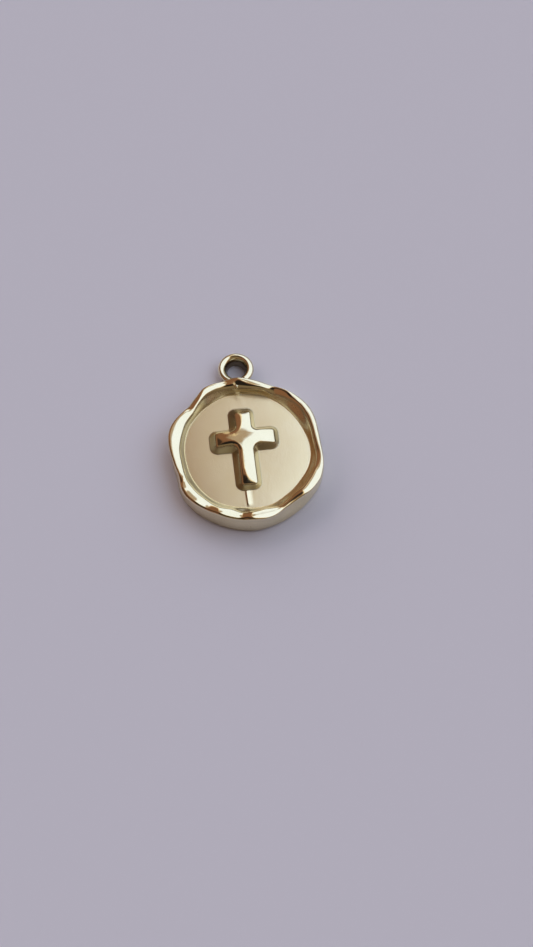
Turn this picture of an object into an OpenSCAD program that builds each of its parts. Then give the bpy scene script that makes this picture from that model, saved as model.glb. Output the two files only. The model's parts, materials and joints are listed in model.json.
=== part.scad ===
// Cross charm: a one-piece cast medal with a rolled, wavy rim, a sunk field,
// a raised Latin cross and a ring loop on the top edge.
// It lies on its flat back. +Y points to the loop and +Z out of the face.

/* [Medal] */
// Thickness of the plate from the flat back to the sunk field
plate_t = 1.2; // [1.0:0.05:1.4]
// How much the rim's lobes stand out from a plain round rim
waviness = 1.0; // [0.4:0.05:1.2]

/* [Cross] */
// Width of both bars where they meet the field
bar_w = 2.4; // [2.0:0.05:2.8]
// Length of each side arm from the crossing point
arm_len = 3.3; // [2.8:0.05:3.6]
// Length of the upper arm from the crossing point
head_len = 3.4; // [3.0:0.05:3.8]
// Length of the lower arm from the crossing point
shaft_len = 5.2; // [4.6:0.05:5.4]
// Height of the cross over the field at its crossing
relief_h = 1.2; // [0.8:0.05:1.4]
// How much lower the arms' ends are than the crossing
end_drop = 0.45; // [0:0.05:0.6]
// Rounding of the arms' corners, seen from above
corner_r = 0.7; // [0.4:0.05:0.9]

/* [Loop] */
// Diameter of the loop's hole
hole_d = 1.7; // [1.4:0.1:2.0]
// Outer diameter of the loop
loop_d = 3.4; // [3.2:0.1:3.8]
// Thickness of the loop
loop_t = 1.2; // [1.0:0.1:1.4]
// Distance from the medal's centre to the loop's centre
loop_y = 8.95; // [8.7:0.05:9.0]
// Radius of the fillets between the loop and the rim
neck_r = 0.3; // [0.25:0.05:0.5]

/* [Hidden] */

// Sections of the rim, one row every 15 degrees counter-clockwise from +X.
// field: radius of the sunk field. lip: radius where the crest turns down to the field.
// brow: radius of the crest's outer shoulder. foot: radius of the outer wall near the back.
// crest: height of the crest over the field.
// angle, field, lip, brow, foot, crest
SECTIONS = [
    [  0, 5.77, 6.15, 6.80, 6.88, 0.92],
    [ 15, 5.61, 6.20, 6.93, 7.02, 0.96],
    [ 30, 5.58, 6.40, 7.15, 7.22, 0.98],
    [ 45, 5.67, 6.36, 7.04, 7.16, 1.04],
    [ 60, 5.80, 6.24, 6.87, 7.00, 0.85],
    [ 75, 5.95, 6.25, 7.00, 7.15, 0.92],
    [ 90, 5.98, 6.38, 7.36, 7.36, 1.05],
    [105, 6.08, 6.60, 7.34, 7.34, 0.90],
    [120, 6.00, 6.70, 7.40, 7.44, 1.04],
    [135, 5.98, 6.36, 7.10, 7.27, 0.87],
    [150, 5.96, 6.32, 7.35, 7.34, 0.93],
    [165, 5.90, 6.30, 7.50, 7.50, 0.99],
    [180, 5.85, 6.30, 7.23, 7.22, 0.95],
    [195, 5.88, 6.36, 7.08, 7.22, 0.89],
    [210, 5.96, 6.62, 7.60, 7.58, 0.92],
    [225, 6.05, 6.66, 7.72, 7.73, 0.90],
    [240, 6.06, 6.76, 7.62, 7.76, 0.95],
    [255, 5.97, 6.70, 7.63, 7.84, 0.86],
    [270, 6.00, 6.76, 7.68, 7.88, 0.94],
    [285, 6.04, 6.72, 7.53, 7.70, 0.80],
    [300, 5.87, 6.60, 7.25, 7.53, 0.91],
    [315, 5.80, 6.64, 7.47, 7.44, 1.04],
    [330, 5.84, 6.56, 7.48, 7.41, 0.92],
    [345, 5.88, 6.42, 7.10, 7.16, 0.89],
];
FIELD = 1;
LIP = 2;
BROW = 3;
FOOT = 4;
CREST = 5;

// Controls of the spline that draws a section, from the back over the crest to the field.
// radius: the column that it is measured from, with an offset outwards.
// level: the back, the field or the crest, with an offset upwards.
// radius, outwards, level, upwards
BACK = 0;
CONTROLS = [
    [FOOT,  -0.55, BACK,  0.00],
    [FOOT,  -0.20, BACK,  0.00],
    [FOOT,   0.00, BACK,  0.10],
    [FOOT,   0.03, BACK,  0.60],
    [BROW,   0.02, CREST, -0.50],
    [BROW,   0.03, CREST, -0.12],
    [BROW,  -0.18, CREST,  0.04],
    [LIP,    0.18, CREST, -0.05],
    [LIP,    0.02, CREST, -0.25],
    [FIELD,  0.22, FIELD,  0.28],
    [FIELD,  0.10, FIELD,  0.00],
    [FIELD,  0.00, FIELD,  0.00],
];

// Mesh steps: stations round the rim, and steps in each span of its section
STATIONS = 96;
SPAN_STEPS = 2;

// Place of the cross's crossing point and of the loop, from the medal's centre
CROSS_AT = [-0.28, 1.0];
LOOP_X = -0.2;

// Mirrored section of a bar: inset from the base outline as a share of the bar's half width, and
// share of the relief's height. It starts below the field. The cap stays high along an arm and
// then falls off faster towards its end.
BAR_SECTION = [
    [-0.10, -0.25], [0.16, 0.42], [0.30, 0.70], [0.43, 0.85], [0.62, 0.94], [0.80, 0.985], [0.93, 1.00],
];
END_POWER = 2.6;
SIDE_STEPS = 3;
CORNER_STEPS = 4;

// Raised casting flash that runs from the foot of the cross to the rim
FLASH_X = -0.5;
FLASH_W = 0.6;
FLASH_H = 0.06;
FLASH_SINK = 0.1;
FLASH_OVERLAP = [0.4, 0.15];

// Rounding of the loop's edges, and the web between the loop and the rim:
// how deep its fillets are set into the rim, and its height as a share of the loop's thickness
LOOP_EDGE_R = min(0.38, 0.225 * (loop_d - hole_d));
LOOP_STEPS = 5;
LOOP_FN = 96;
NECK_SEAT = 0.3;
NECK_SHARE = 0.76;

// A column of the section table, with its waves scaled about their mean
function mean(v) = v * [for (x = v) 1] / len(v);
function column(k) =
    let (v = [for (row = SECTIONS) row[k]], m = mean(v))
    [for (x = v) m + waviness * (x - m)];

// Spline control values whose curve passes through the column's own values
function controls(v) =
    let (n = len(v))
    [for (i = [0:n - 1]) v[i] - (v[(i + n - 1) % n] - 2 * v[i] + v[(i + 1) % n]) / 6];

// Weights of the four controls round a point at share u of a cubic spline's span
function weights(u) = [
    pow(1 - u, 3),
    3 * pow(u, 3) - 6 * pow(u, 2) + 4,
    -3 * pow(u, 3) + 3 * pow(u, 2) + 3 * u + 1,
    pow(u, 3)
] / 6;

STEP_DEG = SECTIONS[1][0] - SECTIONS[0][0];
COLUMNS = [for (k = [0:CREST]) controls(column(k))];
function at(k, angle) =
    let (
        c = COLUMNS[k],
        n = len(c),
        t = angle / STEP_DEG,
        i = floor(t),
        w = weights(t - i)
    )
    w * [for (j = [0:3]) c[(i + j + n - 1) % n]];

// Spline controls of the rim's section at an angle, as [radius, height]
function level(k, angle) = k == BACK ? 0 : k == FIELD ? plate_t : plate_t + at(CREST, angle);
function section(angle) = [
    for (c = CONTROLS)
        [at(c[0], angle) + c[1], level(c[2], angle) + c[3]]
];

// Points of a cubic spline that starts and ends on its first and last control
function spline(c) =
    let (n = len(c), held = concat([c[0], c[0]], c, [c[n - 1], c[n - 1]]))
    [
        for (s = [0:len(held) - 4], j = [0:SPAN_STEPS - 1])
            weights(j / SPAN_STEPS) * [for (k = [0:3]) held[s + k]],
        c[n - 1]
    ];

ANGLES = [for (i = [0:STATIONS - 1]) i * 360 / STATIONS];
RIM_LINES = [for (a = ANGLES) [for (p = spline(section(a))) [p[0] * cos(a), p[0] * sin(a), p[1]]]];
RINGS = len(RIM_LINES[0]);
RIM_POINTS = [for (k = [0:RINGS - 1], i = [0:STATIONS - 1]) RIM_LINES[i][k]];

// The row's origin is under the middle of the whole charm's outline
MID_X = (max([for (p = RIM_POINTS) p[0]]) + min([for (p = RIM_POINTS) p[0]])) / 2;
MID_Y = (loop_y + loop_d / 2 + min([for (p = RIM_POINTS) p[1]])) / 2;

// Two triangles between neighbouring rings, and a fan that closes a ring
function strip(low, high, n) = [
    for (i = [0:n - 1])
        let (j = (i + 1) % n)
        each [[low + i, high + i, high + j], [low + i, high + j, low + j]]
];
function fan(centre, ring, n) = [for (i = [0:n - 1]) [centre, ring + i, ring + (i + 1) % n]];
function flipped(faces) = [for (f = faces) [f[0], f[2], f[1]]];

// The plate with its rolled rim: rings from the middle of the back, over the crest, to the field
module medal() {
    back = len(RIM_POINTS);
    top = (RINGS - 1) * STATIONS;
    polyhedron(
        points = concat(RIM_POINTS, [[0, 0, 0], [0, 0, plate_t]]),
        faces = concat(
            [for (k = [0:RINGS - 2]) each strip(k * STATIONS, (k + 1) * STATIONS, STATIONS)],
            fan(back, 0, STATIONS),
            flipped(fan(back + 1, top, STATIONS))
        )
    );
}

// Outline of the cross at an inset from its base. Each arm starts at the crotch before it, and
// then goes out along one side, round its end, and back.
ARM_LENGTHS = [arm_len, head_len, arm_len, shaft_len];
function arm_side(length, half) = [for (j = [1:SIDE_STEPS]) half + (length - half) * j / (SIDE_STEPS + 1)];
function arm_end(length, half, r) = [
    for (j = [0:CORNER_STEPS])
        let (a = 90 * j / CORNER_STEPS)
        [length - r + r * sin(a), half - r + r * cos(a)]
];
function arm(length, inset) =
    let (
        half = bar_w / 2 - inset,
        r = min(max(corner_r - inset, 0.04), 0.6 * half),
        out = concat(
            [for (x = arm_side(length - inset - r, half)) [x, half]],
            arm_end(length - inset, half, r)
        ),
        n = len(out)
    )
    concat(
        [[half, -half]],
        [for (p = out) [p[0], -p[1]]],
        [for (j = [n - 1:-1:0]) out[j]]
    );
function turned(p, quarter) = [
    p[0] * cos(90 * quarter) - p[1] * sin(90 * quarter),
    p[0] * sin(90 * quarter) + p[1] * cos(90 * quarter)
];
function cross_outline(inset) = [for (q = [0:3], p = arm(ARM_LENGTHS[q], inset)) turned(p, q)];

// Height over the field: the cap sinks towards each arm's end
function reach(p) = norm([p[0] / arm_len, p[1] / (p[1] > 0 ? head_len : shaft_len)]);
function cap_height(p, share) = share * (relief_h - end_drop * pow(reach(p), END_POWER));

module cross() {
    outlines = [for (s = BAR_SECTION) cross_outline(s[0] * bar_w / 2)];
    n = len(outlines[0]);
    arm_n = n / 4;
    rings = len(BAR_SECTION);
    walls = [
        for (k = [0:rings - 1], p = outlines[k])
            [p[0], p[1], cap_height(p, BAR_SECTION[k][1])]
    ];
    top = (rings - 1) * n;
    under = rings * n;
    translate([CROSS_AT[0], CROSS_AT[1], plate_t])
        polyhedron(
            points = concat(walls, [[0, 0, cap_height([0, 0], BAR_SECTION[0][1])]]),
            faces = concat(
                [for (k = [0:rings - 2]) each strip(k * n, (k + 1) * n, n)],
                fan(under, 0, n),
                [
                    for (q = [0:3], j = [0:arm_n / 2 - 1])
                        let (
                            a = top + q * arm_n,
                            next = a + j + 1,
                            far = top + (q * arm_n + arm_n - j) % n,
                            before = a + arm_n - j - 1
                        )
                        each next == before
                            ? [[a + j, far, next]]
                            : [[a + j, far, before], [a + j, before, next]]
                ],
                [[top, top + 3 * arm_n, top + 2 * arm_n], [top, top + 2 * arm_n, top + arm_n]]
            )
        );
}

// Low ridge of flash on the field, from inside the cross's foot into the rim's wall
module flash() {
    y_in = CROSS_AT[1] - shaft_len + FLASH_OVERLAP[0];
    y_out = -at(FIELD, 270) - FLASH_OVERLAP[1];
    side = FLASH_W / 2 * (FLASH_H + FLASH_SINK) / FLASH_H;
    translate([FLASH_X, y_in, plate_t])
        rotate([90, 0, 0])
        linear_extrude(height = y_in - y_out)
        polygon([[-side, -FLASH_SINK], [side, -FLASH_SINK], [0, FLASH_H]]);
}

// Section of the loop: a slot-shaped band with rounded edges and a straight bore land
function quarter(cx, cz, from) = [
    for (j = [0:LOOP_STEPS])
        let (a = from + 90 * j / LOOP_STEPS)
        [cx + LOOP_EDGE_R * cos(a), cz + LOOP_EDGE_R * sin(a)]
];
module loop() {
    r0 = hole_d / 2 + LOOP_EDGE_R;
    r1 = loop_d / 2 - LOOP_EDGE_R;
    z0 = LOOP_EDGE_R;
    z1 = loop_t - LOOP_EDGE_R;
    translate([LOOP_X, loop_y, 0])
        rotate_extrude($fn = LOOP_FN)
        polygon(concat(quarter(r1, z0, -90), quarter(r1, z1, 0), quarter(r0, z1, 90), quarter(r0, z0, 180)));
}

// Web with a hollow fillet on each side that carries the loop on the rim
module neck() {
    edge_y = at(FOOT, 90) - NECK_SEAT;
    rise = loop_y - edge_y - neck_r;
    side = sqrt(pow(loop_d / 2 + neck_r, 2) - pow(rise, 2));
    touch = atan2(rise, side);
    sweep = 90 + touch;
    curve = [
        for (j = [0:LOOP_STEPS])
            let (a = 270 - sweep * j / LOOP_STEPS)
            [side + neck_r * cos(a), edge_y + neck_r + neck_r * sin(a)]
    ];
    n = len(curve);
    rim_side = concat(
        [[side, edge_y - neck_r]],
        curve,
        [for (j = [n - 1:-1:0]) [-curve[j][0], curve[j][1]]],
        [[-side, edge_y - neck_r]]
    );
    translate([LOOP_X, 0, loop_t * (1 - NECK_SHARE) / 2])
        linear_extrude(height = loop_t * NECK_SHARE)
        difference() {
            polygon(rim_side);
            translate([0, loop_y])
                circle(r = hole_d / 2 + LOOP_EDGE_R, $fn = LOOP_FN);
        }
}

module charm() {
    color("#d8b26a")
        translate([-MID_X, -MID_Y, 0])
        union() {
            medal();
            cross();
            flash();
            neck();
            loop();
        }
}

charm();
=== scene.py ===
"""Cross charm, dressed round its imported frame: a cast medal with a wavy rim, a satin field,
a raised cross and a loop.

Lengths in this file are millimetres. The meshes are turned into metres when they are made.
Angles round the medal are degrees counter-clockwise from +X, seen from the front.
"""
import json
import math

import bpy
import numpy as np
from mathutils import Matrix, Vector
from mathutils.geometry import delaunay_2d_cdt


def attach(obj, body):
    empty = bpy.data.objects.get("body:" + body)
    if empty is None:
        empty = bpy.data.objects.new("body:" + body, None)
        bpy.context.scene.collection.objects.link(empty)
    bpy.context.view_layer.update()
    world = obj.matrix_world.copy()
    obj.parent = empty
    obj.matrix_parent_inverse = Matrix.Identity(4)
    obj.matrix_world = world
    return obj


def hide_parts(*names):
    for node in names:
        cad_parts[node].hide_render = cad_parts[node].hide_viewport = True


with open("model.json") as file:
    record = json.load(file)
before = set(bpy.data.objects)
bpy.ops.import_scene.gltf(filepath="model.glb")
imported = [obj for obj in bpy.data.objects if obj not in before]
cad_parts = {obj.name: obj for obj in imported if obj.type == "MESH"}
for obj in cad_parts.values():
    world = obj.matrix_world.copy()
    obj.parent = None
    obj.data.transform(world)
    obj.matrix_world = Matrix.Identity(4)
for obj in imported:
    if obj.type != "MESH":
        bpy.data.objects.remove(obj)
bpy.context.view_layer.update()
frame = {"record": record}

MM = 0.001

# Medal. Each column of the rim's section is a closed curve through (angle, value).
PLATE_T = 1.2
FIELD, LIP, BROW, FOOT, CREST, BROW_DROP, LIP_DROP = 1, 2, 3, 4, 5, 6, 7
RIM_CURVES = {
    # radius of the field's edge, at the toe of the inner wall
    FIELD: [
        (1, 5.76), (14, 5.61), (28, 5.57), (41, 5.63), (57, 5.78), (75, 5.96), (88, 5.97), (91, 6.10),
        (94, 5.92), (98, 6.02), (105, 6.10), (119, 6.00), (135, 5.98), (147, 5.98), (161, 5.92),
        (173, 5.88), (187, 5.83), (202, 5.91), (213, 5.97), (227, 6.06), (234, 6.10), (243, 6.05),
        (259, 5.95), (276, 6.05), (286, 6.06), (300, 5.86), (311, 5.81), (321, 5.78), (336, 5.88),
        (348, 5.88),
    ],
    # radius of the crest's inner shoulder
    LIP: [
        (4, 6.10), (15, 6.20), (24, 6.32), (33, 6.45), (42, 6.42), (48, 6.30), (60, 6.22), (67, 6.24),
        (72, 6.24), (84, 6.26), (94, 6.42), (104, 6.60), (112, 6.72), (120, 6.72), (130, 6.46),
        (140, 6.24), (150, 6.34), (159, 6.28), (170, 6.30), (176, 6.32), (187, 6.28), (198, 6.38),
        (204, 6.62), (211, 6.62), (221, 6.66), (231, 6.66), (243, 6.80), (251, 6.60), (259, 6.80),
        (266, 6.84), (277, 6.62), (290, 6.80), (302, 6.56), (313, 6.66), (321, 6.58), (335, 6.55),
        (347, 6.40), (354, 6.20),
    ],
    # radius of the crest's outer shoulder
    BROW: [
        (8, 6.80), (18, 6.98), (26, 7.12), (34, 7.18), (42, 7.10), (50, 6.95), (60, 6.86), (66, 6.88),
        (74, 7.02), (80, 7.14), (86, 7.26), (91, 7.36), (95, 7.42), (99, 7.40), (104, 7.32),
        (111, 7.42), (118, 7.46), (126, 7.26), (136, 7.08), (144, 7.16), (151, 7.38), (159, 7.54),
        (166, 7.52), (173, 7.38), (185, 7.14), (194, 7.08), (199, 7.08), (203, 7.28), (208, 7.54),
        (216, 7.76), (224, 7.74), (232, 7.62), (240, 7.62), (248, 7.66), (258, 7.62), (269, 7.68),
        (277, 7.70), (283, 7.60), (291, 7.30), (298, 7.22), (304, 7.24), (309, 7.34), (314, 7.48),
        (328, 7.54), (335, 7.38), (341, 7.22), (348, 7.00), (357, 6.80),
    ],
    # radius of the outer wall above the floor
    FOOT: [
        (0, 6.87), (15, 7.02), (30, 7.24), (38, 7.24), (45, 7.17), (60, 7.00), (75, 7.15), (90, 7.34),
        (105, 7.34), (120, 7.46), (135, 7.27), (150, 7.32), (165, 7.48), (180, 7.10), (195, 7.08),
        (210, 7.60), (225, 7.74), (240, 7.76), (255, 7.84), (270, 7.90), (285, 7.70), (300, 7.54),
        (315, 7.44), (330, 7.42), (345, 7.16),
    ],
    # height of the crest over the plate
    CREST: [
        (0, 0.92), (20, 0.97), (36, 0.98), (49, 1.08), (62, 0.80), (72, 0.94), (84, 1.03), (90, 1.07),
        (101, 0.82), (108, 0.95), (121, 1.05), (137, 0.84), (150, 0.93), (165, 0.99), (180, 0.95),
        (196, 0.88), (201, 0.97), (206, 0.90), (210, 0.95), (214, 0.90), (224, 0.93), (233, 0.78),
        (243, 1.02), (260, 0.78), (266, 1.00), (289, 0.74), (311, 1.08), (336, 0.86), (350, 0.90),
    ],
    # drop of the outer shoulder below the crest
    BROW_DROP: [
        (0, 0.18), (15, 0.22), (30, 0.24), (41, 0.20), (48, 0.06), (52, -0.08), (60, -0.10),
        (64, 0.02), (70, 0.14), (82, 0.14), (88, 0.10), (92, 0.03), (100, 0.02), (105, 0.00),
        (118, 0.00), (126, 0.24), (136, 0.30), (141, 0.02), (148, 0.00), (199, 0.00), (202.5, 0.13),
        (205, 0.13), (209, 0.00), (211, 0.00), (213, 0.05), (215, 0.00), (240, 0.02), (270, 0.04),
        (285, 0.06), (298, 0.16), (315, 0.12), (330, 0.18), (338, 0.08), (345, 0.06), (352, 0.12),
    ],
    # drop of the inner shoulder below the crest
    LIP_DROP: [
        (0, 0.12), (25, 0.10), (34, 0.04), (42, 0.06), (49, 0.20), (61, 0.24), (65, 0.10), (69, 0.00),
        (77, 0.02), (80, 0.06), (92, 0.32), (95.5, 0.06), (98, 0.00), (101, 0.00), (106, 0.10),
        (120, 0.14), (126, 0.02), (137, 0.02), (143, 0.14), (150, 0.18), (165, 0.20), (180, 0.19),
        (195, 0.16), (199, 0.14), (202.5, 0.00), (205, 0.00), (208.5, 0.11), (211, 0.10), (213, 0.06),
        (215, 0.11), (225, 0.12), (240, 0.10), (270, 0.06), (300, 0.04), (330, 0.02), (340, 0.10),
        (350, 0.14),
    ],
}
# step of the curves, and how far their corners are softened, in degrees
CURVE_STEP = 0.5
CURVE_SOFTNESS = 1.7
BACK = 0
# Controls of the spline that draws the rim's section, from the back over the crest to the field:
# radius column, outwards, level, upwards, share of the brow's drop, share of the lip's drop
CONTROLS = [
    (FOOT, -0.55, BACK, 0.00, 0, 0),
    (FOOT, -0.20, BACK, 0.00, 0, 0),
    (FOOT, 0.00, BACK, 0.10, 0, 0),
    (FOOT, 0.03, BACK, 0.60, 0, 0),
    (BROW, 0.00, CREST, -0.35, 1, 0),
    (BROW, 0.02, CREST, -0.09, 1, 0),
    (BROW, -0.12, CREST, 0.04, 0.6, 0),
    (LIP, 0.16, CREST, 0.03, 0, 0.7),
    (LIP, 0.00, CREST, -0.08, 0, 1),
    (LIP, -0.15, CREST, -0.30, 0, 1),
    (FIELD, 0.20, FIELD, 0.26, 0, 0),
    (FIELD, 0.05, FIELD, 0.04, 0, 0),
    (FIELD, 0.01, FIELD, 0.00, 0, 0),
    (FIELD, 0.00, FIELD, 0.00, 0, 0),
]
# stations round the rim, and steps in each span of its section
STATIONS = 432
SPAN_STEPS = 7
ANGLES = np.arange(STATIONS) * 360 / STATIONS
# rings that close the back, as shares of its radius
BACK_RINGS = (0.98, 0.85, 0.7, 0.5, 0.3, 0.12)
# place along the section from back to field, polish: the crest is a mirror, the inner wall satin
RIM_POLISH = np.array([
    [0, 0.3], [0.30, 0.3], [0.40, 1], [0.58, 1], [0.63, 0.5], [0.67, 0.12], [0.74, 0.12], [0.78, 0.5],
    [0.84, 0.4], [1, 0.2],
])
# place along the section, painted shade: of the inner wall, and of the outer wall near the floor
RIM_PAINTED_SHADE = np.array([[0.58, 0], [0.64, 0.9], [0.77, 1], [0.80, 0.2], [0.84, 0]])
FOOT_PAINTED_SHADE = np.array([[0, 0.62], [0.20, 0.58], [0.27, 0.34], [0.32, 0.10], [0.37, 0]])
# angle, share of that painted shade: of the inner wall, most on the left, and of the outer wall
RIM_SHADE_ROUND = np.array([
    [0, 0.26], [25, 0.36], [60, 0.14], [110, 0.17], [140, 0.70], [180, 1.0], [225, 0.90], [255, 0.42],
    [300, 0.22],
])
FOOT_SHADE_ROUND = np.array([[0, 0.7], [200, 0.9], [265, 0.8], [300, 0.3], [340, 0.3]])

# Bead of metal left by the casting: angle, radius and height of its middle, and its size
BEAD_ANGLE = 93.5
BEAD_OUT = 6.36
BEAD_Z = 2.16
BEAD_R = 0.17

# Cross
CROSS_AT = np.array([-0.28, 1.0])
BAR_W = 2.4
RIGHT, TOP, LEFT, FOOT_END = 0, 1, 2, 3
# each arm's length, and its cap's even fall, fall towards the end, and the power of that fall
ARMS = np.array([
    [3.30, 0.00, 0.55, 2.6],
    [3.42, 0.08, 0.50, 3.0],
    [3.20, 0.10, 0.20, 3.5],
    [5.20, 0.20, 0.40, 6.5],
])
# the even fall starts softly over this distance
FALL_ROUND = 0.5
# the upright bar falls both ways from this place on it
FALL_FROM = -0.55
# height of the cross's walls over the plate at the crossing
RELIEF_H = 1.13
# rounding of the arms' corners and of the crotches between arms, at the base
CORNER_R = 0.72
CROTCH_R = 0.16
# inset from the base outline, share of the relief's height
BAR_SECTION = np.array([
    [-0.05, 0.000], [-0.02, 0.005], [0.01, 0.035], [0.10, 0.18], [0.20, 0.35], [0.30, 0.52],
    [0.39, 0.66], [0.47, 0.765], [0.54, 0.83], [0.61, 0.87], [0.70, 0.90],
])
SECTION_STEPS = 12
# inset at which the walls end and the cap begins, and how much the cap bulges
CAP_INSET = 0.60
CAP_CURVE = 0.42
# The cap stands off the base's middle, and tilts to the right across the upright bar
CAP_LEAN = np.array([0.09, -0.04])
# place up the upright bar, tilt, extra lean to the right and upwards
CAP_TILTS = np.array([
    [-5.2, 0.02, 0.00, -0.24], [-4.3, 0.07, 0.00, -0.20], [-3.4, 0.18, 0.00, -0.08],
    [-1.6, 0.18, 0.00, 0.00], [-0.6, 0.10, 0.00, 0.00], [0.3, 0.03, 0.00, 0.00],
    [1.3, 0.05, 0.08, 0.00], [3.4, 0.06, 0.12, 0.00],
])
# place along the crossbar, tilt towards the viewer
ARM_TILTS = np.array([[-2.6, 0.13], [-1.9, 0.08], [-1.2, 0.0], [-0.8, -0.02], [-0.3, 0.0]])
# the tilts level off this far from the bar's middle line
TILT_REACH = 0.8
# above this height the film over the crossing keeps only this share of its bulge, with a soft start
FILM_FLAT = 0.17
FILM_SHARE = 0.22
FILM_SOFT = 0.02
# painted shade on the walls, and how much less of it faces right and up, towards the light
WALL_SHADE_SIDES = (0.54, 0.11, 0.04)
# shares of the relief's height at which the polish starts and the painted shade fades, and over how much
SHINE_FROM, SHINE_OVER = 0.62, 0.22
SHADE_FROM, SHADE_OVER = 0.68, 0.2
# how far the walls' foot stands outside their first outline
SKIRT_OUT = 0.02
# rings up the walls, and the step of the cap's net and its distance from the cap's edge
WALL_RINGS = 30
CAP_STEP = 0.05
CAP_CLEAR = 0.6 * CAP_STEP

# Field: height of its crown, and the power that keeps its middle flat
FIELD_CROWN = 0.12
CROWN_POWER = 3.0
# step of its net, and the net's distance from the field's edges
FIELD_STEP = 0.13
FIELD_CLEAR = 0.05
# its outer ring, as a share of its radius
FIELD_RING = 0.99
# the grain fades at the outer ring and at the foot of the cross
RING_GRAIN, SKIRT_GRAIN = 0.5, 0.3

# Casting flash between the cross's foot and the rim: its edge at the top, its ends and its lean
FLASH_X = -0.62
FLASH_TOP = -4.1
FLASH_LOW = -5.95
FLASH_LEAN = 0.03
# width of its steep left side and of its slope to the right, the slope's power, and its height
FLASH_STEEP = 0.14
FLASH_W = 0.55
FLASH_POWER = 1.5
FLASH_H = 0.055
# lengths over which it rises at its top and low end
FLASH_ENDS = (0.1, 0.5)
# its polish, and how fast the grain gives way to it
FLASH_POLISH = 0.45
FLASH_SPREAD = 3
# its finer net: reach to the left and right of the edge, steps across and along, distance from edges
NET_REACH = (0.4, 0.9)
NET_STEPS = (0.04, 0.07)
NET_CLEAR = 0.03

# Loop: place of its middle from the medal's, and the radii of its hole and outside
LOOP_AT = np.array([-0.20, 8.95])
HOLE_R = 0.84
LOOP_R = 1.70
# radius of its highest line, and how much nearer to the hole that runs on the right
CREST_R = 1.35
CREST_SHIFT = 0.10
BORE, RIDGE, REACH = 0, 1, 2
# radius it is set from, outwards, level, drop in the web
LOOP_SECTION = [
    (BORE, 0.08, 0.00, 0),
    (REACH, -0.42, 0.00, 0),
    (REACH, -0.24, 0.03, 0),
    (REACH, -0.20, 0.50, 0.4),
    (REACH, 0.02, 0.86, 1),
    (REACH, 0.02, 0.97, 1),
    (REACH, -0.10, 1.14, 1),
    (RIDGE, 0.06, 1.23, 0),
    (RIDGE, -0.08, 1.22, 0),
    (BORE, 0.22, 1.04, 0),
    (BORE, 0.10, 0.78, 0),
    (BORE, 0.00, 0.48, 0),
    (BORE, -0.06, 0.08, 0),
]
# stations round it, and steps in each span of its section
LOOP_STATIONS = 240
LOOP_STEPS = 6
# the web to the rim: its drop, the reach over which it drops, and how far it runs into the rim
WEB_DROP = 0.75
WEB_FADE = 0.45
WEB_DEPTH = 0.25
# radius of the web's fillets, and how deep they are set into the rim
NECK_R = 0.3
NECK_SEAT = 0.3
# painted shade darkens the hole's wall, which is also less polished: from this far outside it, over this
# fade, less polished by this much
DEEP_FROM = 0.30
DEEP_FADE = 0.20
DEEP_DULL = 0.7
# painted shade on the loop's outer side: its strength, the height below which it grows, and the fade
LOW_PAINTED_SHADE = 0.90
LOW_FROM = 1.08
LOW_FADE = 0.30

# Metal: its colour from patch to patch where it is polished and where it is satin, and the colour of its
# painted shade
BRIGHT_GOLD = ((0.835, 0.75, 0.52), (0.875, 0.79, 0.575))
DULL_GOLD = ((0.97, 0.86, 0.57), (1.0, 0.90, 0.63))
PAINTED_SHADE_GOLD = (0.25, 0.20, 0.14)
SATIN_ROUGHNESS = (0.28, 0.36)
MIRROR_ROUGHNESS = (0.05, 0.13)
# the middle of a noise's range, over which it changes a colour or a roughness
MIDDLE = (0.3, 0.7)
# each noise's features per metre, and its detail
PATCHES = (420.0, 3.0)
STREAKS = (6200.0, 2.5)
DIMPLES = (9500.0, 2.0)
STREAKED_PARTS = (500.0, 2.0)
WEAR = (2600.0, 4.0)
SOFT_WAVES = (1400.0, 2.0)
# stretch and turn of the streaks, and their strength from part to part over a range of the noise
STREAK_STRETCH = (1.0, 0.45, 1.0)
STREAK_TURN = 0.15
STREAK_STRENGTH = (0.15, 1.0)
STREAKED_FROM_TO = (0.4, 0.62)
# each bump's height in metres, and its strength
STREAK_BUMP = (0.00003, 0.22)
DIMPLE_BUMP = (0.000012, 0.25)
WAVE_BUMP = (0.000006, 0.5)

# Floor, half its side in metres
FLOOR_HALF = 0.6
FLOOR_COLOUR = (0.78, 0.76, 0.86)
FLOOR_ROUGHNESS = 0.9

# Photograph: the view's angles, its focal length and scale in pixels, and where the medal's centre falls
PHOTO_W, PHOTO_H = 533, 947
VIEW_ELEVATION = 63.0
VIEW_AZIMUTH = -6.5
FOCAL_PX = 2000.0
PX_PER_MM = 10.7
CENTRE_PX = (248.0, 451.0)
CENTRE_Z = 1.0
SENSOR_W = 36.0

# Light of the room. Bands are cosines of the angle to an axis.
# The window is where three sides overlap. Its edge goes from dark to warm to full light.
WINDOW_SIDE = (0.95, 0.42, -0.20)
WINDOW_BACK = (0.99, -0.09, 0.05)
WINDOW_BAND = (-0.13, 0.09)
WINDOW_FRONT = (0.15, 0.60, 0.75)
FRONT_BAND = (0.12, 0.42)
EDGE_STEPS = (0.08, 0.42, 0.78)
EDGE_LIGHT = (1.08, 0.90, 0.60)
WINDOW_LIGHT = (1.05, 1.18, 1.39)
DARK_SIDE = (0.24, 0.118, 0.066)
BLACK = (0.018, 0.014, 0.012)
# dark spots on that side: axis, band, light
SPOTS = [
    ((-0.16, -0.12, 0.98), (0.935, 0.95), BLACK),
    ((-0.12, -0.68, 0.73), (0.90, 0.925), BLACK),
    ((-0.49, 0.22, 0.84), (0.955, 0.975), (0.050, 0.030, 0.020)),
]
# the room's low front, and its walls below the ceiling
FRONT_AXIS = (0.0, -0.90, 0.30)
FRONT_LOW_BAND = (0.60, 0.85)
FRONT_LIGHT = (0.21, 0.155, 0.095)
WALL_BAND = (0.16, 0.32)
WALL_LIGHT = (0.13, 0.095, 0.065)
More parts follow.
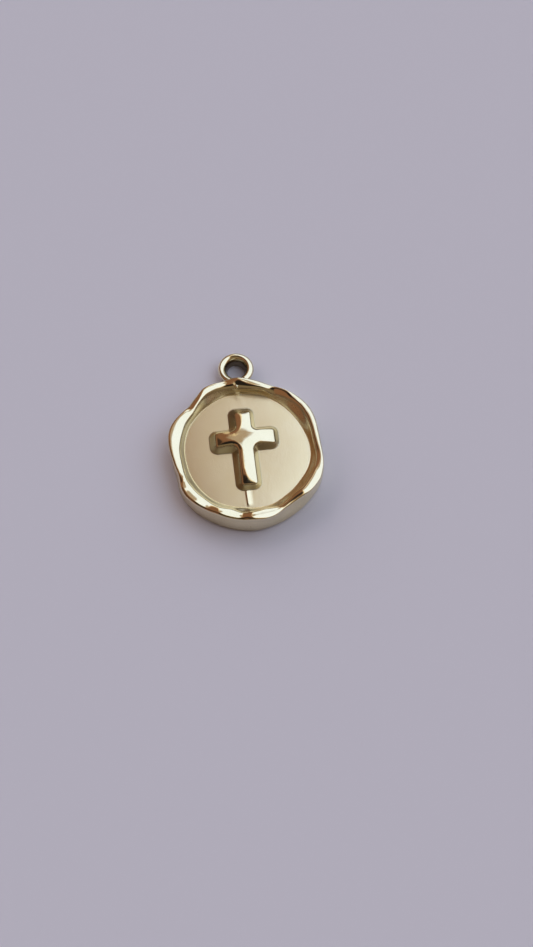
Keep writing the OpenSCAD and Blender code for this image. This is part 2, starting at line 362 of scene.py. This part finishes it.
# a small warm patch high up behind, mirrored at the crossing
PATCH_AXIS = (0.040, 0.525, 0.85)
PATCH_BAND = (0.985, 0.993)
PATCH_LIGHT = (0.46, 0.36, 0.27)
# Light that only the floor takes: strong from behind, weak from the front and from above
FILL_AXIS = (-0.15, 1.0, -0.10)
FILL_BAND = (-0.25, 0.90)
FILL_SHARE = 0.85
FILL_BACK = (2.57, 2.33, 2.27)
FILL_FRONT = (0.15, 0.10, 0.07)
FILL_TOP = (0.06, 0.05, 0.045)
FILL_TOP_BAND = (0.50, 0.90)
BACKDROP = (0.45, 0.45, 0.50)
UP = (0, 0, 1)

bore = next(m for m in frame["record"]["mounts"] if m["name"] == "loop_bore")
MEDAL_AT = np.array(bore["pos_m"][:2]) / MM - LOOP_AT


class Mesh:
    """Collects vertices and faces. Each vertex has its polish, from 0, satin, to 1, its share of
    the field's grain, and its share of painted shade, which darkens the metal."""

    def __init__(self):
        self.points = []
        self.polish = []
        self.grain = []
        self.painted_shade = []
        self.faces = []

    def add(self, points, polish=1.0, grain=0.0, painted_shade=0.0):
        """Adds vertices and returns their ids."""
        start = len(self.points)
        points = np.asarray(points, float)
        self.points.extend(points)
        self.polish.extend(np.broadcast_to(polish, (len(points),)))
        self.grain.extend(np.broadcast_to(grain, (len(points),)))
        self.painted_shade.extend(np.broadcast_to(painted_shade, (len(points),)))
        return list(range(start, len(self.points)))

    def face(self, ids):
        self.faces.append(tuple(int(i) for i in ids))

    def strip(self, a, b):
        """Quads between two rings of ids."""
        n = len(a)
        for i in range(n):
            j = (i + 1) % n
            self.face((a[i], a[j], b[j], b[i]))

    def fan(self, ring, centre):
        """Triangles between a ring of ids and its centre."""
        for i, a in enumerate(ring):
            self.face((a, ring[(i + 1) % len(ring)], centre))

    def build(self, name, material):
        """The Blender object, in metres and in the frame's place."""
        offset = np.array([MEDAL_AT[0], MEDAL_AT[1], 0.0])
        mesh = bpy.data.meshes.new(name)
        mesh.from_pydata([tuple((p + offset) * MM) for p in self.points], [], self.faces)
        # the painted_shade value is painted shade, baked into the metal's colour
        for label, values in (("polish", self.polish), ("grain", self.grain), ("painted_shade", self.painted_shade)):
            attribute = mesh.attributes.new(label, "FLOAT", "POINT")
            attribute.data.foreach_set("value", np.array(values, np.float32))
        mesh.materials.append(material)
        mesh.polygons.foreach_set("use_smooth", [True] * len(self.faces))
        mesh.update()
        piece = bpy.data.objects.new(name, mesh)
        bpy.context.collection.objects.link(piece)
        return piece


def smooth(x):
    """0 to 1 with soft ends, as x goes from 0 to 1."""
    x = np.clip(x, 0, 1)
    return x * x * (3 - 2 * x)


def read(table, at, column=1, **options):
    """A column of a table, at any places in the table's first column."""
    return np.interp(at, table[:, 0], table[:, column], **options)


def spline_weights(u):
    """Weights of a cubic spline's four controls at shares u of a span."""
    u = np.asarray(u, float)
    return np.array([(1 - u) ** 3, 3 * u**3 - 6 * u**2 + 4, -3 * u**3 + 3 * u**2 + 3 * u + 1, u**3]) / 6


def spline(controls, steps):
    """Points of a cubic spline that starts and ends on its first and last control."""
    c = [controls[0]] * 2 + list(controls) + [controls[-1]] * 2
    out = []
    for s in range(len(c) - 3):
        for j in range(steps):
            w = spline_weights(j / steps)
            out.append(sum(w[k] * c[s + k] for k in range(4)))
    return out + [controls[-1]]


def closed_spline(controls, steps):
    """Points of a closed cubic spline."""
    n = len(controls)
    out = []
    for i in range(n):
        for j in range(steps):
            w = spline_weights(j / steps)
            out.append(sum(w[m] * controls[(i - 1 + m) % n] for m in range(4)))
    return np.array(out)


def closed_curve(points):
    """Values every CURVE_STEP degrees on a softened closed curve through (angle, value)."""
    at, values = np.array(points, float).T
    dense = np.interp(np.arange(0, 360, CURVE_STEP), at, values, period=360)
    reach = int(4 * CURVE_SOFTNESS / CURVE_STEP)
    weights = np.exp(-0.5 * (np.arange(-reach, reach + 1) * CURVE_STEP / CURVE_SOFTNESS) ** 2)
    wrapped = np.concatenate([dense[-reach:], dense, dense[:reach]])
    return np.convolve(wrapped, weights / weights.sum(), "valid")


DENSE_CURVES = {column: closed_curve(points) for column, points in RIM_CURVES.items()}
SMOOTH_SECTION = np.array(spline(list(BAR_SECTION), SECTION_STEPS))


def around(column, angles):
    """A column of the rim's section at any angles."""
    return np.interp(angles, np.arange(0, 360, CURVE_STEP), DENSE_CURVES[column], period=360)


def rim_rings():
    """Rings of the rim from the back, over the crest, to the field: [ring, station, xyz]."""
    levels = {BACK: 0 * ANGLES, FIELD: PLATE_T + 0 * ANGLES, CREST: PLATE_T + around(CREST, ANGLES)}
    brow, lip = around(BROW_DROP, ANGLES), around(LIP_DROP, ANGLES)
    controls = [
        np.array([around(k, ANGLES) + dr, levels[lv] + dz - share_b * brow - share_l * lip])
        for k, dr, lv, dz, share_b, share_l in CONTROLS
    ]
    a = np.radians(ANGLES)
    return [np.array([r * np.cos(a), r * np.sin(a), z]).T for r, z in spline(controls, SPAN_STEPS)]


def arm_outline(length, inset, side_n=18, corner_n=10, end_n=6, crotch_n=8):
    """One arm's outline, pointing along +X, from the middle of the crotch before it to that after it."""
    half = BAR_W / 2 - inset
    reach = length - inset
    r = CORNER_R - inset
    rc = CROTCH_R + inset
    out = []
    for j in range(crotch_n // 2):
        a = math.radians(135 - 45 * j / (crotch_n // 2))
        out.append((BAR_W / 2 + CROTCH_R + rc * math.cos(a), -BAR_W / 2 - CROTCH_R + rc * math.sin(a)))
    x0 = BAR_W / 2 + CROTCH_R
    for j in range(side_n):
        out.append((x0 + (reach - r - x0) * j / side_n, -half))
    for j in range(corner_n):
        a = math.radians(-90 + 90 * j / corner_n)
        out.append((reach - r + r * math.cos(a), -half + r + r * math.sin(a)))
    for j in range(end_n // 2):
        out.append((reach, (r - half) * (1 - 2 * j / end_n)))
    lower = list(out)
    out.append((reach, 0.0))
    out.extend((x, -y) for x, y in reversed(lower[1:]))
    return out


def cross_outline(inset):
    """Closed outline of the cross at an inset from its base, about the crossing point."""
    ring = []
    for quarter, length in enumerate(ARMS[:, 0]):
        c, s = ((1, 0), (0, 1), (-1, 0), (0, -1))[quarter]
        ring.extend((c * x - s * y, s * x + c * y) for x, y in arm_outline(length, inset))
    return np.array(ring)


def facing(loop):
    """Outward unit directions along a closed outline that runs anticlockwise."""
    along = np.roll(loop, -1, axis=0) - np.roll(loop, 1, axis=0)
    along /= np.maximum(np.hypot(along[:, 0], along[:, 1]), 1e-9)[:, None]
    return np.column_stack([along[:, 1], -along[:, 0]])


def leaning(xy, share):
    """An outline moved by a share of the cap's lean."""
    more = [read(CAP_TILTS, xy[:, 1], column) for column in (2, 3)]
    return xy + (CAP_LEAN + np.column_stack(more)) * share


def distance_to(points, loop):
    """Distance of each point to a closed polyline."""
    a = loop
    b = np.roll(loop, -1, axis=0)
    ab = b - a
    best = np.full(len(points), 1e9)
    for p0, d in zip(a, ab):
        rel = points - p0
        t = np.clip(rel @ d / max(d @ d, 1e-12), 0, 1)
        gap = rel - t[:, None] * d
        best = np.minimum(best, np.hypot(gap[:, 0], gap[:, 1]))
    return best


def inside(points, loop):
    """Whether each point lies inside a closed polyline."""
    x, y = points[:, 0], points[:, 1]
    hit = np.zeros(len(points), bool)
    for (x0, y0), (x1, y1) in zip(loop, np.roll(loop, -1, axis=0)):
        if y0 == y1:
            continue
        crosses = (y0 > y) != (y1 > y)
        hit ^= crosses & (x < x0 + (y - y0) * (x1 - x0) / (y1 - y0))
    return hit


def share_at(inset):
    """Share of the relief's height at an inset."""
    return read(SMOOTH_SECTION, inset)


def wall_z(inset, xy):
    """Height of the cross's wall at an inset and at places about the crossing point."""
    x, y = xy[:, 0], xy[:, 1]
    fall = 0
    for along, ahead, behind in ((x, RIGHT, LEFT), (y - FALL_FROM, TOP, FOOT_END)):
        arm = ARMS[np.where(along > 0, ahead, behind)]
        even = np.hypot(along, FALL_ROUND) - FALL_ROUND
        even = even / (np.hypot(arm[:, 0], FALL_ROUND) - FALL_ROUND)
        fall = fall + arm[:, 1] * even + arm[:, 2] * np.abs(along / arm[:, 0]) ** arm[:, 3]
    tilt = read(CAP_TILTS, y) * TILT_REACH * np.tanh(x / TILT_REACH)
    tilt = tilt - read(ARM_TILTS, x) * TILT_REACH * np.tanh(y / TILT_REACH)
    top = PLATE_T + RELIEF_H - fall - tilt
    ground = field_z(xy + CROSS_AT)
    return ground + (top - ground) * share_at(inset)


def field_z(xy):
    """Height of the field: slightly crowned, with the ridge of flash under the cross's foot."""
    r = np.hypot(xy[:, 0], xy[:, 1])
    edge = around(FIELD, np.degrees(np.arctan2(xy[:, 1], xy[:, 0])) % 360)
    return PLATE_T + FIELD_CROWN * (1 - np.clip(r / edge, 0, 1) ** CROWN_POWER) + flash_z(xy)


def flash_z(xy):
    """Height of the flash over the field: steep on its left, sloping off to the right."""
    across = xy[:, 0] - FLASH_X + FLASH_LEAN * (xy[:, 1] - FLASH_TOP)
    left = smooth(1 + across / FLASH_STEEP)
    right = np.clip(1 - across / FLASH_W, 0, 1)
    ridge = np.where(across < 0, left, right**FLASH_POWER)
    top, low = FLASH_ENDS
    along = np.clip((FLASH_TOP - xy[:, 1]) / top, 0, 1) * smooth((xy[:, 1] - FLASH_LOW) / low)
    return FLASH_H * ridge * along


def grid_inside(loop, holes, step, margin):
    """Points of a triangular grid inside a loop and outside its holes, clear of both by a margin."""
    lo, hi = loop.min(0), loop.max(0)
    rows = np.arange(lo[1], hi[1], step * math.sqrt(3) / 2)
    pts = []
    for k, y in enumerate(rows):
        xs = np.arange(lo[0] + (k % 2) * step / 2, hi[0], step)
        pts.append(np.array([xs, np.full_like(xs, y)]).T)
    pts = np.concatenate(pts)
    keep = inside(pts, loop) & (distance_to(pts, loop) > margin)
    for h in holes:
        keep &= ~inside(pts, h)
        keep[keep] &= distance_to(pts[keep], h) > margin
    return pts[keep]


def fill(mesh, rings, inner, heights, polish=1.0, grain=0.0):
    """Triangles between closed rings of ids (the first is the outer one) through extra points.
    Returns all their ids, and the triangles."""
    ids, xy, edges = [], [], []
    for ring in rings:
        n, start = len(ring), len(ids)
        ids += ring
        xy += [mesh.points[i][:2] for i in ring]
        edges += [(start + i, start + (i + 1) % n) for i in range(n)]
    ids += mesh.add(np.column_stack([inner, heights]), polish, grain)
    xy += list(inner)
    made, _, faces, orig, _, _ = delaunay_2d_cdt([Vector(p) for p in xy], edges, [], 0, 1e-7)
    middle = np.array([np.mean([made[i] for i in f], axis=0) for f in faces])
    loops = [np.array([mesh.points[i][:2] for i in ring]) for ring in rings]
    keep = inside(middle, loops[0])
    for loop in loops[1:]:
        keep &= ~inside(middle, loop)
    kept = [[ids[orig[i][0]] for i in f] for f, k in zip(faces, keep) if k]
    for f in kept:
        mesh.face(f)
    return ids, np.array(kept)


def soap_film(xy, faces, fixed, rounds=1500, close_enough=1e-10):
    """Heights of a film blown up evenly over a flat net of triangles, with its rim fixed at 0."""
    n = len(xy)
    i, j, w = [], [], []
    area = np.zeros(n)
    for a, b, c in ((0, 1, 2), (1, 2, 0), (2, 0, 1)):
        p, q, r = xy[faces[:, a]], xy[faces[:, b]], xy[faces[:, c]]
        u, v = p - r, q - r
        twice = np.abs(u[:, 0] * v[:, 1] - u[:, 1] * v[:, 0])
        i.append(faces[:, a])
        j.append(faces[:, b])
        w.append((u * v).sum(1) / np.maximum(twice, 1e-12) / 2)
        area += np.bincount(faces[:, a], twice / 6, n)
    i, j, w = np.concatenate(i + j), np.concatenate(j + i), np.concatenate(w + w)
    free = np.ones(n, bool)
    free[fixed] = False
    whole = np.bincount(i, w, n)

    def apply(x):
        return np.where(free, whole * x - np.bincount(i, w * x[j], n), 0)

    x = np.zeros(n)
    rest = np.where(free, area, 0)
    scale = np.where(free, 1 / np.maximum(whole, 1e-9), 0)
    z = scale * rest
    step = z.copy()
    rz = rest @ z
    for _ in range(rounds):
        ax = apply(step)
        alpha = rz / (step @ ax)
        x += alpha * step
        rest -= alpha * ax
        if np.abs(rest).max() < close_enough:
            break
        z = scale * rest
        rz, old = rest @ z, rz
        step = z + rz / old * step
    return x


def add_rim(mesh):
    """The rim, from the back's edge to the field's. Returns its rings of ids."""
    rim = rim_rings()
    share = np.linspace(0, 1, len(rim))
    # painted shade: the inner wall, most on the left, and the outer wall near the floor are darkened
    polish, dark, low = (read(table, share) for table in (RIM_POLISH, RIM_PAINTED_SHADE, FOOT_PAINTED_SHADE))
    inner, outer = (read(table, ANGLES, period=360) for table in (RIM_SHADE_ROUND, FOOT_SHADE_ROUND))
    rings = [mesh.add(r, p, 0, d * inner + f * outer) for r, p, d, f in zip(rim, polish, dark, low)]
    for a, b in zip(rings, rings[1:]):
        mesh.strip(a, b)
    return rings


def add_back(mesh, edge):
    """The flat back: rings from its edge towards its middle."""
    back = edge
    for k in BACK_RINGS:
        nearer = mesh.add([mesh.points[i] * (k, k, 1) for i in edge])
        mesh.strip(nearer, back)
        back = nearer
    centre = mesh.add([(0, 0, 0)])[0]
    mesh.fan(list(reversed(back)), centre)


def field_net(outer, skirt):
    """Points of the field's net between two outlines, finer round the flash."""
    grid = grid_inside(outer, [skirt], FIELD_STEP, FIELD_CLEAR)
    left, right = FLASH_X - NET_REACH[0], FLASH_X + NET_REACH[1]
    box = (grid[:, 0] > left) & (grid[:, 0] < right) & (grid[:, 1] < FLASH_TOP)
    xs = np.arange(left, right, NET_STEPS[0])
    ys = np.arange(FLASH_TOP, outer[:, 1].min(), -NET_STEPS[1])
    rib = np.array([(x, y) for y in ys for x in xs])
    rib = rib[inside(rib, outer) & ~inside(rib, skirt) & (distance_to(rib, outer) > NET_CLEAR)]
    rib = rib[distance_to(rib, skirt) > NET_CLEAR]
    return np.concatenate([grid[~box], rib])


def add_field(mesh, toe):
    """The field, from the toe of the rim to the foot of the cross. Returns the foot's ids."""
    near = np.array([mesh.points[i] for i in toe]) * (FIELD_RING, FIELD_RING, 1)
    near[:, 2] = field_z(near[:, :2])
    ring = mesh.add(near, 0.0, RING_GRAIN)
    mesh.strip(toe, ring)
    skirt_xy = cross_outline(BAR_SECTION[0, 0] - SKIRT_OUT) + CROSS_AT
    skirt = mesh.add(np.column_stack([skirt_xy, field_z(skirt_xy)]), 0.0, SKIRT_GRAIN)
    net = field_net(near[:, :2], skirt_xy)
    on_flash = smooth(np.clip(flash_z(net) / FLASH_H, 0, 1) * FLASH_SPREAD)
    fill(mesh, [ring, skirt], net, field_z(net), FLASH_POLISH * on_flash, 1 - on_flash)
    return skirt


def add_walls(mesh, skirt):
    """The cross's walls, in rings up from its foot. Returns the last ring's ids and outline."""
    lower = skirt
    for inset in BAR_SECTION[0, 0] + (CAP_INSET - BAR_SECTION[0, 0]) * np.linspace(0, 1, WALL_RINGS):
        xy = leaning(cross_outline(inset), max(inset, 0) / CAP_INSET)
        shine = smooth((share_at(inset) - SHINE_FROM) / SHINE_OVER)
        side = facing(xy)
        # painted shade on the walls, stronger where they face left and down, away from the light
        turned = WALL_SHADE_SIDES[0] - WALL_SHADE_SIDES[1] * side[:, 0] - WALL_SHADE_SIDES[2] * side[:, 1]
        shade = np.clip(turned, 0, 1) * (1 - smooth((share_at(inset) - SHADE_FROM) / SHADE_OVER))
        ring = mesh.add(np.column_stack([xy + CROSS_AT, wall_z(inset, xy)]), shine, 0, shade)
        mesh.strip(lower, ring)
        lower = ring
    return lower, xy


def add_cap(mesh, edge, outline):
    """The cross's cap, blown up like a film over the walls' last ring."""
    inner = grid_inside(outline, [], CAP_STEP, CAP_CLEAR)
    ids, faces = fill(mesh, [edge], inner + CROSS_AT, wall_z(CAP_INSET, inner))
    local = {v: k for k, v in enumerate(ids)}
    flat = np.array([mesh.points[i][:2] for i in ids])
    film = soap_film(flat, np.vectorize(local.get)(faces), np.arange(len(edge)))
    film -= (1 - FILM_SHARE) * FILM_SOFT * np.logaddexp(0, (film - FILM_FLAT) / FILM_SOFT)
    for i, h in zip(ids, film - film.min()):
        mesh.points[i][2] += CAP_CURVE * h


def add_bead(mesh, rows=8, columns=14):
    """A small ball of metal, sunk into the crest's inner side."""
    a = math.radians(BEAD_ANGLE)
    middle = np.array([BEAD_OUT * math.cos(a), BEAD_OUT * math.sin(a), BEAD_Z])
    rings = []
    for j in range(1, rows):
        t = math.pi * j / rows
        turn = 2 * math.pi * np.arange(columns) / columns
        flat = np.column_stack([np.cos(turn), np.sin(turn), 0 * turn]) * math.sin(t)
        rings.append(mesh.add(middle + BEAD_R * (flat - (0, 0, math.cos(t)))))
    low, high = mesh.add([middle - (0, 0, BEAD_R), middle + (0, 0, BEAD_R)])
    for a, b in zip(rings, rings[1:]):
        mesh.strip(a, b)
    mesh.fan(list(reversed(rings[0])), low)
    mesh.fan(rings[-1], high)


def medal_mesh():
    """The medal with its cross as one closed mesh, and the bead on it."""
    mesh = Mesh()
    rings = add_rim(mesh)
    add_back(mesh, rings[0])
    skirt = add_field(mesh, rings[-1])
    edge, outline = add_walls(mesh, skirt)
    add_cap(mesh, edge, outline)
    add_bead(mesh)
    return mesh


def loop_reach(off_down):
    """Outer radius of the loop's plate at an angle away from the medal's side, in radians."""
    edge = float(around(FOOT, [90.0])[0]) - NECK_SEAT
    rise = LOOP_AT[1] - edge - NECK_R
    side = math.sqrt((LOOP_R + NECK_R) ** 2 - rise**2)
    touch = math.atan2(side, rise)
    if off_down >= touch:
        return LOOP_R
    # distance along the ray to the near side of the fillet's circle, or past it into the rim
    b = side * math.sin(off_down) + rise * math.cos(off_down)
    gap = b * b - (side**2 + rise**2 - NECK_R**2)
    seat = (LOOP_AT[1] - edge + WEB_DEPTH) / math.cos(off_down)
    return min(b - math.sqrt(gap), seat) if gap > 0 else seat


def loop_mesh():
    """The ring loop and the web that joins it to the rim, as one closed mesh."""
    mesh = Mesh()
    rings = []
    for k in range(LOOP_STATIONS):
        a = 2 * math.pi * k / LOOP_STATIONS
        reach = loop_reach(abs((a - 1.5 * math.pi + math.pi) % (2 * math.pi) - math.pi))
        drop = WEB_DROP * float(smooth((reach - LOOP_R) / WEB_FADE))
        radii = {BORE: HOLE_R, RIDGE: CREST_R - CREST_SHIFT * math.cos(a), REACH: reach}
        section = [np.array([radii[c] + dr, z - drop * share]) for c, dr, z, share in LOOP_SECTION]
        r, z = closed_spline(section, LOOP_STEPS).T
        ring = np.column_stack([LOOP_AT[0] + r * math.cos(a), LOOP_AT[1] + r * math.sin(a), z])
        # painted shade: the hole's wall and the outer side near the floor are darkened
        deep = smooth((HOLE_R + DEEP_FROM - r) / DEEP_FADE)
        low = np.where(r > radii[RIDGE], LOW_PAINTED_SHADE * smooth((LOW_FROM - z) / LOW_FADE), 0.0)
        rings.append(mesh.add(ring, 1 - DEEP_DULL * deep, 0, np.maximum(deep, low)))
    for a, b in zip(rings, rings[1:] + rings[:1]):
        mesh.strip(b, a)
    return mesh


def noise(tree, source, scale, detail=3.0, stretch=(1, 1, 1), turn=0.0):
    """A noise texture on object coordinates, in features per metre."""
    mapping = tree.nodes.new("ShaderNodeMapping")
    mapping.inputs["Scale"].default_value = stretch
    mapping.inputs["Rotation"].default_value = (0, 0, turn)
    tree.links.new(source, mapping.inputs["Vector"])
    tex = tree.nodes.new("ShaderNodeTexNoise")
    tex.inputs["Scale"].default_value = scale
    tex.inputs["Detail"].default_value = detail
    tree.links.new(mapping.outputs["Vector"], tex.inputs["Vector"])
    return tex.outputs["Fac"]


def ramp(tree, source, low, high, at=(0.0, 1.0)):
    """A colour from low to high, as the source passes between two places."""
    node = tree.nodes.new("ShaderNodeValToRGB")
    node.color_ramp.elements[0].position = at[0]
    node.color_ramp.elements[1].position = at[1]
    node.color_ramp.elements[0].color = (*low, 1)
    node.color_ramp.elements[1].color = (*high, 1)
    tree.links.new(source, node.inputs["Fac"])
    return node.outputs["Color"]


def blend(tree, factor, first, second):
    """A number between two, each a number or a socket."""
    node = tree.nodes.new("ShaderNodeMix")
    node.data_type = "FLOAT"
    tree.links.new(factor, node.inputs["Factor"])
    for name, value in (("A", first), ("B", second)):
        socket = next(i for i in node.inputs if i.name == name and i.type == "VALUE")
        if isinstance(value, (int, float)):
            socket.default_value = value
        else:
            tree.links.new(value, socket)
    return next(o for o in node.outputs if o.type == "VALUE")


def mix(tree, factor, first, second):
    """A colour between two, each a colour or a socket."""
    node = tree.nodes.new("ShaderNodeMix")
    node.data_type = "RGBA"
    tree.links.new(factor, node.inputs["Factor"])
    for name, value in (("A", first), ("B", second)):
        socket = next(i for i in node.inputs if i.name == name and i.type == "RGBA")
        if isinstance(value, tuple):
            socket.default_value = (*value, 1)
        else:
            tree.links.new(value, socket)
    return next(o for o in node.outputs if o.type == "RGBA")


def spread(tree, source, low, high, start=0.0, end=1.0):
    """A number from low to high, as the source goes from start to end."""
    node = tree.nodes.new("ShaderNodeMapRange")
    node.inputs["From Min"].default_value = start
    node.inputs["From Max"].default_value = end
    node.inputs["To Min"].default_value = low
    node.inputs["To Max"].default_value = high
    tree.links.new(source, node.inputs["Value"])
    return node.outputs["Result"]


def times(tree, a, b):
    """The product of two, each a number or a socket."""
    node = tree.nodes.new("ShaderNodeMath")
    node.operation = "MULTIPLY"
    for value, socket in ((a, node.inputs[0]), (b, node.inputs[1])):
        if isinstance(value, (int, float)):
            socket.default_value = value
        else:
            tree.links.new(value, socket)
    return node.outputs["Value"]


def bump(tree, height, distance, strength=1.0, before=None):
    """A normal bumped by a height, on top of the one before it."""
    node = tree.nodes.new("ShaderNodeBump")
    node.inputs["Distance"].default_value = distance
    node.inputs["Strength"].default_value = strength
    tree.links.new(height, node.inputs["Height"])
    if before:
        tree.links.new(before, node.inputs["Normal"])
    return node.outputs["Normal"]


def attribute(tree, name):
    """One of the mesh's vertex values."""
    node = tree.nodes.new("ShaderNodeAttribute")
    node.attribute_name = name
    return node.outputs["Fac"]


def beyond(tree, direction, axis, start, end):
    """0 to 1 as a direction's share along an axis passes from start to end."""
    dot = tree.nodes.new("ShaderNodeVectorMath")
    dot.operation = "DOT_PRODUCT"
    dot.inputs[1].default_value = Vector(axis).normalized()
    tree.links.new(direction, dot.inputs[0])
    node = tree.nodes.new("ShaderNodeMapRange")
    node.interpolation_type = "SMOOTHSTEP"
    node.inputs["From Min"].default_value = start
    node.inputs["From Max"].default_value = end
    tree.links.new(dot.outputs["Value"], node.inputs["Value"])
    return node.outputs["Result"]


def gold():
    """Pale gold plating: a mirror where it is polished, satin in the recesses, streaked on the field."""
    material = bpy.data.materials.new("gold")
    material.use_nodes = True
    tree = material.node_tree
    shader = tree.nodes["Principled BSDF"]
    shader.inputs["Metallic"].default_value = 1.0
    place = tree.nodes.new("ShaderNodeTexCoord").outputs["Object"]
    polish, grain = attribute(tree, "polish"), attribute(tree, "grain")

    patchy = noise(tree, place, *PATCHES)
    bright, dull = (ramp(tree, patchy, *colours, MIDDLE) for colours in (BRIGHT_GOLD, DULL_GOLD))
    clean = mix(tree, polish, dull, bright)
    # painted shade: each vertex's share of it mixes the colour towards a dark gold
    colour = mix(tree, attribute(tree, "painted_shade"), clean, PAINTED_SHADE_GOLD)
    tree.links.new(colour, shader.inputs["Base Color"])

    fine = noise(tree, place, *DIMPLES)
    satin = spread(tree, fine, *SATIN_ROUGHNESS, *MIDDLE)
    mirror = spread(tree, noise(tree, place, *WEAR), *MIRROR_ROUGHNESS, *MIDDLE)
    tree.links.new(blend(tree, polish, satin, mirror), shader.inputs["Roughness"])

    # Heights are about zero, so that no step forms where the grain fades
    streaks = spread(tree, noise(tree, place, *STREAKS, STREAK_STRETCH, STREAK_TURN), -0.5, 0.5)
    strong = spread(tree, noise(tree, place, *STREAKED_PARTS), *STREAK_STRENGTH, *STREAKED_FROM_TO)
    dimples = spread(tree, fine, -0.5, 0.5)
    field = bump(tree, times(tree, times(tree, streaks, strong), grain), *STREAK_BUMP)
    peel = bump(tree, times(tree, dimples, grain), *DIMPLE_BUMP, field)
    soft = bump(tree, noise(tree, place, *SOFT_WAVES), *WAVE_BUMP, peel)
    tree.links.new(soft, shader.inputs["Normal"])
    return material


def pale_floor():
    """The plain floor that the charm lies on."""
    material = bpy.data.materials.new("floor")
    material.use_nodes = True
    shader = material.node_tree.nodes["Principled BSDF"]
    shader.inputs["Base Color"].default_value = (*FLOOR_COLOUR, 1)
    shader.inputs["Roughness"].default_value = FLOOR_ROUGHNESS
    mesh = bpy.data.meshes.new("floor")
    corners = [(x * FLOOR_HALF, y * FLOOR_HALF, 0) for x, y in ((-1, -1), (1, -1), (1, 1), (-1, 1))]
    mesh.from_pydata(corners, [], [(0, 1, 2, 3)])
    mesh.materials.append(material)
    floor = bpy.data.objects.new("floor", mesh)
    bpy.context.collection.objects.link(floor)
    return floor


def photo_camera():
    """The camera at the photograph's angle, so that the medal falls where it does there."""
    e, a = math.radians(VIEW_ELEVATION), math.radians(VIEW_AZIMUTH)
    back = Vector((math.sin(a) * math.cos(e), -math.cos(a) * math.cos(e), math.sin(e)))
    right = Vector((math.cos(a), math.sin(a), 0))
    up = back.cross(right)
    away = FOCAL_PX / PX_PER_MM
    x = (CENTRE_PX[0] - PHOTO_W / 2) / PX_PER_MM
    y = (PHOTO_H / 2 - CENTRE_PX[1]) / PX_PER_MM
    centre = Vector((MEDAL_AT[0], MEDAL_AT[1], CENTRE_Z))
    place = (centre - right * x - up * y + back * away) * MM
    data = bpy.data.cameras.new("camera")
    data.sensor_width = SENSOR_W
    data.lens = data.sensor_width * FOCAL_PX / PHOTO_H
    data.clip_start = 0.01
    data.clip_end = 10.0
    camera = bpy.data.objects.new("camera", data)
    camera.matrix_world = Matrix.Translation(place) @ Matrix((right, up, back)).transposed().to_4x4()
    bpy.context.collection.objects.link(camera)
    bpy.context.scene.camera = camera


def room_light(tree, where):
    """What the metal mirrors: a large window on the right, a warm dark side on the left with darker
    spots, and dim walls."""
    light = DARK_SIDE
    for axis, band, tone in SPOTS:
        light = mix(tree, beyond(tree, where, axis, *band), light, tone)
    shown = times(
        tree,
        beyond(tree, where, WINDOW_SIDE, *WINDOW_BAND),
        beyond(tree, where, WINDOW_BACK, *WINDOW_BAND),
    )
    shown = times(tree, shown, beyond(tree, where, WINDOW_FRONT, *FRONT_BAND))
    start, warm, full = EDGE_STEPS
    light = mix(tree, spread(tree, shown, 0, 1, start, warm), light, EDGE_LIGHT)
    light = mix(tree, spread(tree, shown, 0, 1, warm, full), light, WINDOW_LIGHT)
    light = mix(tree, beyond(tree, where, FRONT_AXIS, *FRONT_LOW_BAND), light, FRONT_LIGHT)
    light = mix(tree, beyond(tree, where, UP, *WALL_BAND), WALL_LIGHT, light)
    return mix(tree, beyond(tree, where, PATCH_AXIS, *PATCH_BAND), light, PATCH_LIGHT)


def room():
    """The world: the room's light, a fill for the floor, and a plain backdrop for the camera."""
    world = bpy.data.worlds.new("room")
    bpy.context.scene.world = world
    world.use_nodes = True
    tree = world.node_tree
    where = tree.nodes.new("ShaderNodeTexCoord").outputs["Generated"]
    path = tree.nodes.new("ShaderNodeLightPath")
    fill_light = mix(tree, beyond(tree, where, FILL_AXIS, *FILL_BAND), FILL_FRONT, FILL_BACK)
    fill_light = mix(tree, beyond(tree, where, UP, *FILL_TOP_BAND), fill_light, FILL_TOP)
    filled = times(tree, path.outputs["Is Diffuse Ray"], FILL_SHARE)
    light = mix(tree, filled, room_light(tree, where), fill_light)
    light = mix(tree, path.outputs["Is Camera Ray"], light, BACKDROP)
    tree.links.new(light, tree.nodes["Background"].inputs["Color"])


photo_camera()
pale_floor()
finish = gold()

medal = medal_mesh().build("medal", finish)
loop = loop_mesh().build("loop", finish)
for piece in (medal, loop):
    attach(piece, "root")
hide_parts("charm")

room()
bpy.context.scene.view_settings.view_transform = "Standard"
